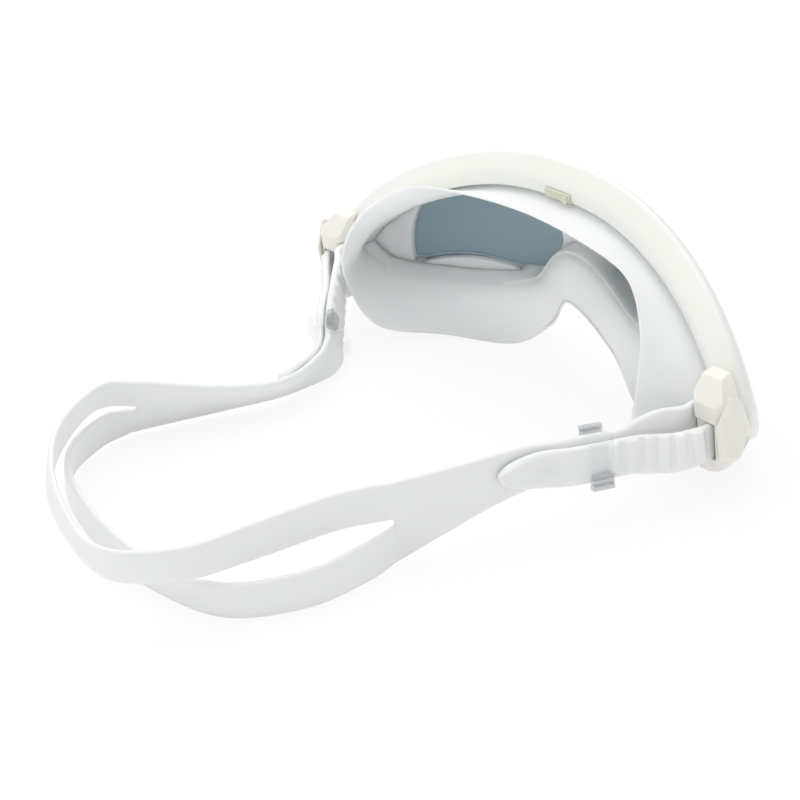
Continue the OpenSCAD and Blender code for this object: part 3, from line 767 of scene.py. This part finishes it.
@dataclass(frozen=True)
class Strap:
    """The split strap, with the same route as the CAD source."""

    front: Front
    end_w: float = 10.5
    split_w: float = 24.0
    band_w: float = 11.0
    strap_t: float = 2.2
    edge_r: float = 0.6
    rib_h: float = 0.8
    pitch: float = 5.1
    rise: float = 3.7
    loop_r: float = 3.45
    buckle_lean: float = 7.0
    tail_ridge: float = 0.6
    tail_blunt: float = 3.2  # power of the tail's narrowing: the higher, the blunter
    groove: float = 0.45

    @property
    def flat(self) -> float:
        """Half of the width of the ribs' flat middle."""
        return self.end_w / 2 - 1.5

    def at_post(self, side: int, p: np.ndarray) -> np.ndarray:
        """Moves points drawn about the right strap post to their place.

        Args:
            side: 1 for the right side, -1 for its mirror image on the left.
            p: A point, or points one a row.

        Returns:
            The points in the part's frame.
        """
        f = self.front
        y = f.wrap_y(f.half_w, f.wrap_r) - f.post_back
        post = f.on_table(np.array([f.half_w - f.post_in, y, f.post_up]))
        a = math.radians(self.buckle_lean)
        x, y, z = np.moveaxis(np.asarray(p, float), -1, 0)
        turned = [x, y * math.cos(a) - z * math.sin(a), y * math.sin(a) + z * math.cos(a)]
        return (post + np.stack(turned, -1)) * [side, 1, 1]

    @staticmethod
    def places() -> dict:
        """Each side's keeper: its middle, the strap's run, its lean and half of the strands' offset."""
        right = [72.6, -36.4, 20.2], [-0.33, -0.944, 0], 8, [1.6, 0.45, -0.75]
        left = [-54, -28, 9.6], [0.72, -0.62, -0.3], -20, [-1, -0.9, -0.45]
        return {
            side: (np.array(middle), unit(np.array(run)), tilt, np.array(pair))
            for side, (middle, run, tilt, pair) in ((1, right), (-1, left))
        }

    def routes(self) -> dict:
        """Gives the strap's routes.

        Returns:
            Points of the strands, broad parts, tails and bands, each with its lean in degrees.
        """
        lr, rz = self.loop_r, self.rise / 2
        places = self.places()

        def at(side: int, x: float, y: float, z: float, lean: float) -> list:
            """A point of a route that is drawn about the post."""
            return [*self.at_post(side, np.array([x, y, z])), lean]

        def held(side: int, sign: int) -> list:
            """The three points of a route that the keeper holds."""
            middle, run, tilt, pair = places[side]
            return [[*(middle + sign * pair + s * run), tilt] for s in (-8.5, 0, 8.5)]

        return {
            ("outer", 1): [
                at(1, lr, 0, -rz, 0), at(1, lr, -5, -rz, 4), [80.8, -14.8, 17.2, 24],
                [78, -22.5, 18.3, 22], *held(1, 1),
            ],
            ("inner", 1): [
                at(1, -lr, 0, rz, 0), at(1, -lr, -5, rz, 2), [73.9, -15, 21.9, 5],
                [73.4, -22.5, 21.3, 8], *held(1, -1),
            ],
            ("outer", -1): [
                at(-1, lr, 0, -rz, 0), at(-1, lr, -3.5, -rz, 0), [-77.5, -10.2, 16.9, -12],
                [-68.5, -16.5, 13.8, -18], *held(-1, 1),
            ],
            ("inner", -1): [
                at(-1, -lr, 0, rz, 0), at(-1, -lr, -3.5, rz, 0), [-72, -10, 19.4, -8],
                [-65, -16.4, 15.4, -16], *held(-1, -1),
            ],
            ("broad", 1): [
                [64.4, -52, 19.8, 4], [60.4, -64.5, 17.6, -2], [57.2, -76, 15.2, -3],
                [54, -89.2, 12.9, -3],
            ],
            ("broad", -1): [
                [-42.2, -42.6, 7.0, 20], [-38.4, -60, 7.3, 46], [-42.6, -79.5, 8.6, 42],
                [-48, -101.5, 11.6, 30],
            ],
            ("tail", 1): [[68, -51.2, 19.8, 5], [65.2, -58.6, 19.6, 2], [63.8, -62.6, 19.6, 0]],
            ("tail", -1): [[-44.5, -43.4, 7.9, 20], [-42, -52, 8.6, 34], [-41, -56.4, 8.9, 40]],
            "upper": [
                [-47, -114, 19.4, 27], [-35, -133, 18.8, 12], [-16, -147.5, 18.6, 8],
                [8, -156.7, 18.2, -5], [30.5, -159.5, 18, -16], [43.5, -146, 18.2, -14],
                [47.5, -127, 19.2, -6], [50, -104, 19.6, -4],
            ],
            "lower": [
                [-50.5, -112, 6.6, 12], [-42, -127, 6.3, 8], [-26.5, -136.4, 6.1, 0],
                [0, -142.8, 6.1, -5], [25, -143.6, 6.1, -10], [47, -137.3, 6.1, -10],
                [56.5, -119, 6.2, -3], [56.4, -100, 6.4, 2],
            ],
        }

    @staticmethod
    def frames(route: np.ndarray, hand: int) -> tuple[np.ndarray, np.ndarray]:
        """Directions across the strap and inwards, at each point of a sampled route."""
        p = route[:, :3]
        t = unit(np.vstack([p[1] - p[0], p[2:] - p[:-2], p[-1] - p[-2]]))
        n = hand * unit(np.stack([-t[:, 1], t[:, 0], 0 * t[:, 0]], 1))
        up = hand * np.cross(t, n)
        lean = np.radians(route[:, 3:4])
        u = np.cos(lean) * up + np.sin(lean) * n
        return u, hand * np.cross(u, t)

    def section(
        self, c: np.ndarray, u: np.ndarray, v: np.ndarray, w: float, heights: tuple, g: float
    ) -> np.ndarray:
        """The strap's sixteen points round c.

        Args:
            c: The section's middle.
            u: Direction across the strap.
            v: Direction towards the post; the ribs stand on the other face.
            w: Width.
            heights: How far the outer face is raised at its middle and at the edge of its middle.
            g: Half of the width of the face's middle.

        Returns:
            The points, round the section.
        """
        h, a = w / 2, self.strap_t / 2
        r = min(self.edge_r, 0.3 * h)
        step = min(0.5, (h - r - g) * 0.8)
        across = np.array([h, h - r, g + step, g])
        out = np.array([a - r, a, a + heights[1], a + heights[0]])
        back = np.array([a - r, a, a, a + min(heights[0], 0)])
        x = np.concatenate([across, -across[::-1], -across, across[::-1]])
        y = np.concatenate([-out, -out[::-1], back, back[::-1]])
        return c + x[:, None] * u + y[:, None] * v

    @staticmethod
    def even(points: list, pace: float) -> tuple[np.ndarray, np.ndarray, np.ndarray]:
        """Samples a route at even distances.

        Args:
            points: The route's points.
            pace: Distance between two samples.

        Returns:
            The samples, the distance to each and the distance to each of the points.
        """
        steps = 40
        fine = open_curve(points, steps)
        lengths = np.linalg.norm(np.diff(fine[:, :3], axis=0), axis=1)
        travel = np.concatenate([[0], np.cumsum(lengths)])
        s = np.linspace(0, travel[-1], int(travel[-1] / pace) + 1)
        samples = np.stack([np.interp(s, travel, fine[:, k]) for k in range(4)], 1)
        return samples, s, travel[::steps]

    def ribs(self, s: np.ndarray, first: float, last: float) -> np.ndarray:
        """Height of the ribs at distances s, between first and last."""
        phase = np.abs((s - first) % self.pitch - self.pitch / 2) / self.pitch
        height = self.rib_h * np.clip((0.33 - phase) / 0.08, 0, 1)
        end = first + (last - first) // self.pitch * self.pitch
        return np.where((s > first) & (s < end), height, 0)

    def tail_rings(self, side: int) -> list:
        """Rings from the tip of a tail, with its raised ridge and its dish, to the post."""
        r, flat = self.routes(), self.flat
        outer, s, marks = self.even(r["outer", side] + r["tail", side], 0.3)
        ribs = self.ribs(s, marks[1] - 1, marks[5] + 2 if side > 0 else marks[6])
        u, v = self.frames(outer, -side)
        rings = []
        for i in range(len(s) - 1, -1, -1):
            t = np.clip((s[i] - marks[6]) / (marks[-1] - marks[6]), 0, 1)
            w = self.end_w * max(0.08, math.sqrt(1 - t**self.tail_blunt))
            ridge = self.tail_ridge * np.clip(t / 0.1, 0, 1) * np.clip((1 - t) / 0.15, 0, 1)
            dish = np.clip(1.3 - abs(t - 0.3) / 0.25, 0, 1)
            heights = (ridge * (0.9 - 1.7 * dish), ridge) if t > 0 else (ribs[i], 0.8 * ribs[i])
            g = flat if t <= 0 else min(flat, w / 2 * (0.6 - 0.25 * dish))
            rings.append(self.section(outer[i, :3], u[i], v[i], w, heights, g))
        return rings

    def loop_rings(self, side: int) -> list:
        """Rings round the post, rising from the outer strand to the inner one."""
        rings = []
        for q in np.arange(6, 180, 6):
            o = np.array([math.cos(math.radians(q)), math.sin(math.radians(q)), 0])
            middle = self.loop_r * o + [0, 0, self.rise * (q / 180 - 0.5)]
            up = np.array([0, 0, 1.0])
            ring = self.section(middle, up, -o, self.end_w, (0, 0), self.flat)
            rings.append(self.at_post(side, ring))
        return rings

    def broad_rings(self, side: int) -> list:
        """Rings from the post to where the broad part splits, with the groove that leads there."""
        r, flat = self.routes(), self.flat
        inner, s, marks = self.even(r["inner", side] + r["broad", side], 0.6)
        ribs = self.ribs(s, marks[1] + 1, marks[6])
        u, v = self.frames(inner, -side)
        rings = []
        for i in range(len(s)):
            t = float(np.clip((s[i] - marks[6]) / (marks[-1] - marks[6]), 0, 1)) ** 1.2
            w = self.end_w + (self.split_w - self.end_w) * t
            groove = -self.groove * np.clip((t - 0.72) / 0.25, 0, 1)
            g = flat * (1 - t) + (self.split_w / 2 - self.band_w) * t
            heights = (ribs[i], 0.4 * ribs[i]) if t <= 0 else (groove, 0)
            rings.append(self.section(inner[i, :3], u[i], -v[i], w, heights, g))
        return rings

    def end(self, side: int) -> np.ndarray:
        """One side's rings, from the tip of the tail to the split."""
        return np.array(self.tail_rings(side) + self.loop_rings(side) + self.broad_rings(side))

    def band(self, name: str, sign: int) -> np.ndarray:
        """Gives the rings of one rear band, without the two that the ends give it.

        Args:
            name: The band's route, upper or lower.
            sign: 1 for the upper band, -1 for the lower.

        Returns:
            Rings of eight points.
        """
        r = self.routes()

        def split(side: int) -> list:
            """The middle of the band where a side splits."""
            broad = np.array(r["broad", side], float)
            u, _ = self.frames(broad, -side)
            offset = sign * (self.split_w - self.band_w) / 2 * u[-1]
            return [*(broad[-1, :3] + offset), broad[-1, 3]]

        route, _, _ = self.even([split(-1), *r[name], split(1)], 1.2)
        u, v = self.frames(route, 1)
        h, a, e, c = self.band_w / 2, self.strap_t / 2, self.edge_r, route[:, :3]
        x = np.array([h, h, h - e, e - h, -h, -h, e - h, h - e])
        y = np.array([a - e, e - a, -a, -a, e - a, a - e, a, a])
        return np.stack([c + x[k] * u - y[k] * v for k in range(8)], 1)[1:-1]

    def build(self) -> Piece:
        """Joins ends and bands into one closed strap.

        Returns:
            The strap piece.
        """
        left, right = self.end(-1), self.end(1)[::-1]
        bands = [self.band("upper", 1), self.band("lower", -1)]
        points = np.vstack([p.reshape(-1, 3) for p in (left, *bands, right)])
        rows, used = [], 0
        for part in (left, *bands, right):
            k = part.shape[1]
            rows.append([range(used + i * k, used + (i + 1) * k) for i in range(len(part))])
            used += part.shape[0] * k
        split, start = rows[0][-1], rows[3][0]
        # The tips of the tails, and the webs between the bands where each side splits.
        faces = [
            list(rows[0][0])[::-1], [split[q] for q in (3, 4, 11, 12)],
            [start[q] for q in (12, 11, 4, 3)], list(rows[3][-1]),
        ]
        # Each band takes eight of the sixteen points of the rings at both splits.
        for k, corners in ((1, (15, 0, 1, 2, 3, 12, 13, 14)), (2, (11, 4, 5, 6, 7, 8, 9, 10))):
            rows[k] = [[split[q] for q in corners], *rows[k], [start[q] for q in corners]]
        for k in (0, 3, 1, 2):
            for near, far in zip(rows[k], rows[k][1:]):
                faces += bridge(near, far)
        obj = mesh_object("strap_look", points, faces)
        with editing(obj):
            bpy.ops.mesh.normals_make_consistent(inside=False)
        modify(obj, "SUBSURF", levels=1)
        bpy.ops.object.shade_smooth()
        return obj


@dataclass(frozen=True)
class SideParts:
    """The buckle, push pad and keeper of one side, drawn about its strap post: x outwards, y forwards.

    A cut is a plane's normal and its distance from the post. The pad's outline is y and z of its
    corners. A lug's step is its length, its reach from the keeper's inner face and its reach upwards.
    """

    side: int
    strap: Strap
    cuts: tuple = (((0.705, 0.488, -0.515), 11.9), ((0.34, -0.27, -0.9), 12.6))
    pad_x: float = 7.9
    pad_slope: float = 12.0
    pad_r: float = 0.9
    outline: tuple = ((-3.8, 3.7), (0.6, 12.2), (4.6, 9.6), (7.0, 0.6), (3.2, -8.4), (-3.1, -6.9))
    bevel: tuple = ((0.15, 0), (0, 0.2), (0, 0.45), (0.1, 0.55), (1.6, 1.68), (1.9, 1.72))
    hub: tuple = ((5.4, -4.9), (8.6, -4.9), (8.6, 4.9), (5.4, 4.9))
    hub_reach: tuple = (0.9, 3.9)
    keeper_in: tuple = (3.625, 6.35)
    keeper_t: float = 0.8
    keeper_l: float = 6.2
    lug_steps: tuple = ((5.4, (1.6, 4.775), (3.6, 6.6)), (6.2, (2.3, 4.225), (6.45, 7.9)))

    @property
    def name(self) -> str:
        """Left or right, as the wearer's side."""
        return "right" if self.side > 0 else "left"

    def place(self, obj: Piece) -> None:
        """Moves a piece from the buckle's own frame to its place on the table."""
        relocate(obj, lambda points: self.strap.at_post(self.side, points))

    def cutter(self, normal: tuple, reach: float) -> Piece:
        """A large block beyond a plane of the buckle.

        Args:
            normal: The plane's normal.
            reach: The plane's distance from the post.

        Returns:
            The block, in place.
        """
        size = 20
        n = unit(np.array(normal))
        far = n * (reach + size)
        across = unit(np.cross(n, [0, 0, 1]))
        other = np.cross(n, across)
        square = [size * (a * across + b * other) for a, b in ((1, 1), (-1, 1), (-1, -1), (1, -1))]
        rings = np.array([[far + p + c * n for p in square] for c in (-size, size)])
        block = mesh_object("cutter", *loft(rings, False))
        self.place(block)
        return block

    def buckle(self) -> Piece:
        """Builds the moulded buckle, with its lower outer corner and its foot cut back.

        Returns:
            The buckle piece.
        """
        obj = node_copy("buckle_" + self.name)
        moulded(obj, 0.2, 0, 0.5)
        for normal, reach in self.cuts:
            combine(obj, self.cutter(normal, reach), "DIFFERENCE")
        moulded(obj, 0.2, 7, 0.35)
        return obj

    def pad(self) -> Piece:
        """Builds the bevelled push pad with the hub it turns on.

        Returns:
            The lever piece.
        """
        outline = rounded([(*p, self.pad_r) for p in self.outline], self.pad_r, 6)
        middle = outline.mean(0)
        rings = []
        for inset, height in self.bevel:
            p = outline - inset * unit(outline - middle)
            rings.append(np.stack([np.full(len(p), height), p[:, 0], p[:, 1]], 1))
        c, s = math.cos(math.radians(self.pad_slope)), -math.sin(math.radians(self.pad_slope))
        points, faces = loft(np.array(rings), False)
        points = points @ np.array([[c, -s, 0], [s, c, 0], [0, 0, 1]]).T + [self.pad_x, 0, 0]
        obj = mesh_object("release_lever_%s_look" % self.name, points, faces)
        combine(obj, prism("hub", rounded(list(self.hub), 0.3), *self.hub_reach), "UNION")
        self.place(obj)
        moulded(obj, 0.16, 3, 0.35)
        return obj

    def block(self, name: str, length: float, low: tuple, top: tuple) -> Piece:
        """A bevelled block on the keeper's place.

        Args:
            name: Name of the block.
            length: Length along the strap.
            low: Lower corner, inwards and upwards from the keeper's middle.
            top: Upper corner.

        Returns:
            The block.
        """
        at, run, tilt, _ = self.strap.places()[self.side]
        path = np.array([[*(at + s * run), tilt] for s in (-1, 0, 1)])
        u, v = (direction[1] for direction in self.strap.frames(path, -self.side))
        corners = rounded([low, (top[0], low[1]), top, (low[0], top[1])], 0.35, 4)
        rings = [[at + s * run + a * v + b * u for a, b in corners] for s in (-length / 2, length / 2)]
        obj = mesh_object(name, *loft(np.array(rings), False))
        bevel_and_smooth(obj, 0.3, 3, 60)
        return obj

    def keeper(self) -> Piece:
        """Builds the clear keeper's loop.

        Returns:
            The keeper piece.
        """
        x, z = self.keeper_in
        wall = self.keeper_t
        low, top = (-x - wall, -z - wall), (x + wall, z + wall)
        obj = self.block("strap_keeper_%s_look" % self.name, self.keeper_l, low, top)
        combine(obj, self.block("window", self.keeper_l + 1.8, (-x, -z), (x, z)), "DIFFERENCE")
        only(obj)
        bpy.ops.object.shade_smooth_by_angle(angle=math.radians(35))
        return obj

    def lugs(self) -> Piece:
        """Builds the keeper's stepped lugs, at its inner top and outer bottom.

        Returns:
            Both lugs as one piece.
        """
        pieces = []
        for sign in SIDES:
            for length, across, up in self.lug_steps:
                a, b = sorted(sign * k for k in across)
                low, top = sorted(sign * k for k in up)
                pieces.append(self.block("keeper_lugs_" + self.name, length, (a, low), (b, top)))
        return joined(pieces)


@dataclass(frozen=True)
class Eye:
    """The camera at the photograph's angle; its position is in m."""

    position: tuple[float, float, float] = (0.40165, -0.35995, 0.26296)
    azimuth: float = 51.775
    elevation: float = 26.104
    roll: float = -1.636
    lens: float = 89.972

    def build(self) -> None:
        """Adds the camera to the scene and makes it the active one."""
        az, el, ro = (math.radians(a) for a in (self.azimuth, self.elevation, self.roll))
        level = math.cos(el)
        ahead = np.array([-math.sin(az) * level, math.cos(az) * level, -math.sin(el)])
        right = unit(np.cross(ahead, [0, 0, 1]))
        up = np.cross(right, ahead)
        x = math.cos(ro) * right + math.sin(ro) * up
        y = -math.sin(ro) * right + math.cos(ro) * up
        rows = np.column_stack([x, y, -ahead, self.position]).tolist()
        data = bpy.data.cameras.new("camera")
        data.lens = self.lens
        data.sensor_width = 36
        data.clip_start, data.clip_end = 0.01, 20
        camera = bpy.data.objects.new("camera", data)
        camera.matrix_world = Matrix([*rows, [0, 0, 0, 1]])
        bpy.context.scene.collection.objects.link(camera)
        bpy.context.scene.camera = camera


@dataclass(frozen=True)
class Lamp:
    """A square soft lamp that faces the goggles, in m and W."""

    name: str
    place: tuple[float, float, float]
    watts: float
    size: float

    def build(self) -> None:
        """Adds the lamp to the scene."""
        data = bpy.data.lights.new(self.name, "AREA")
        data.energy, data.size = self.watts, self.size
        lamp = bpy.data.objects.new(self.name, data)
        lamp.location = self.place
        lamp.rotation_euler = (-Vector(self.place)).to_track_quat("-Z", "Y").to_euler()
        bpy.context.scene.collection.objects.link(lamp)


@dataclass(frozen=True)
class Studio:
    """A plain pale floor and soft light.

    The floor's glow is what the camera, reflections and clear pieces see of it: enough to be white
    while the shadow stays.
    """

    floor_hex: str = "#FDFDFD"
    glow: float = 0.86
    world: float = 0.64
    lamps: tuple[Lamp, ...] = (
        Lamp("top", (-0.1, 0.05, 1.1), 5.6, 1.2),
        Lamp("fill", (-0.25, -0.85, 0.75), 1.7, 0.9),
        Lamp("rear", (-0.8, 0.5, 0.7), 2.0, 0.9),
    )

    def floor(self) -> bpy.types.Material:
        """Builds the floor's material.

        Returns:
            The material.
        """
        mat = bpy.data.materials.new("pale_floor")
        mat.use_nodes = True
        tree = mat.node_tree
        bsdf = tree.nodes["Principled BSDF"]
        feed(tree, bsdf, {"Base Color": linear(self.floor_hex), "Roughness": 0.9})
        white = add_node(tree, "Emission", {"Color": (1, 1, 1, 1), "Strength": 1.0})
        rays = add_node(tree, "LightPath", {})
        share = rays.outputs["Is Camera Ray"]
        for ray in ("Is Glossy Ray", "Is Transmission Ray"):
            both = {0: share, 1: rays.outputs[ray]}
            share = add_node(tree, "Math", both, operation="MAXIMUM").outputs[0]
        share = add_node(tree, "Math", {0: share, 1: self.glow}, operation="MULTIPLY").outputs[0]
        mix = add_node(tree, "MixShader", {0: share, 1: bsdf.outputs[0], 2: white.outputs[0]})
        feed(tree, tree.nodes["Material Output"], {"Surface": mix.outputs[0]})
        return mat

    def build(self) -> None:
        """Adds the floor, the world and the lamps."""
        bpy.ops.mesh.primitive_plane_add(size=8, location=(0, 0, 0))
        floor = bpy.context.object
        floor.name = "floor"
        floor.data.materials.append(self.floor())
        world = bpy.data.worlds.new("studio")
        world.use_nodes = True
        back = world.node_tree.nodes["Background"]
        feed(world.node_tree, back, {"Color": (0.98, 0.99, 1, 1), "Strength": self.world})
        bpy.context.scene.world = world
        for lamp in self.lamps:
            lamp.build()


def write_size() -> None:
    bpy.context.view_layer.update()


def main() -> None:
    """Builds the goggles, their materials, the studio and the camera."""
    logging.basicConfig(level=logging.INFO)
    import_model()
    write_size()
    for node, finish, width in (
        ("lens", SMOKE_LENS, 0.15), ("lens_lock", YELLOWED_PC, 0.2), ("retaining_ring", IVORY_ABS, 0.2),
        ("lever_pin_left", STEEL, 0.1), ("lever_pin_right", STEEL, 0.1),
        ("lever_spring_left", STEEL, 0.05), ("lever_spring_right", STEEL, 0.05),
    ):
        dress(rounded_copy(node, width), finish, "goggles", node)
    front = Front()
    skirt, strap = Skirt(front), Strap(front)
    dress(Rim(front).build(), IVORY_ABS, "goggles", "frame")
    dress(skirt.build(), SKIRT_SILICONE, "goggles", "skirt")
    dress(strap.build(), STRAP_SILICONE, "goggles", "strap")
    for side in SIDES:
        parts = SideParts(side, strap)
        name = parts.name
        # The lens's edge line, in a lighter tint that paints its highlight.
        dress(skirt.lens_rim(side), LENS_EDGE_HIGHLIGHT, "goggles")
        dress(parts.buckle(), WARM_ABS, "goggles", "buckle_" + name)
        dress(parts.pad(), WARM_ABS, "lever_" + name, "release_lever_" + name)
        dress(parts.keeper(), CLEAR_PC, "keeper_" + name, "strap_keeper_" + name)
        dress(parts.lugs(), CLEAR_LUGS, "keeper_" + name)
    Studio().build()
    Eye().build()
    bpy.context.scene.view_settings.view_transform = "Standard"
    write_size()


if __name__ == "__main__":
    main()
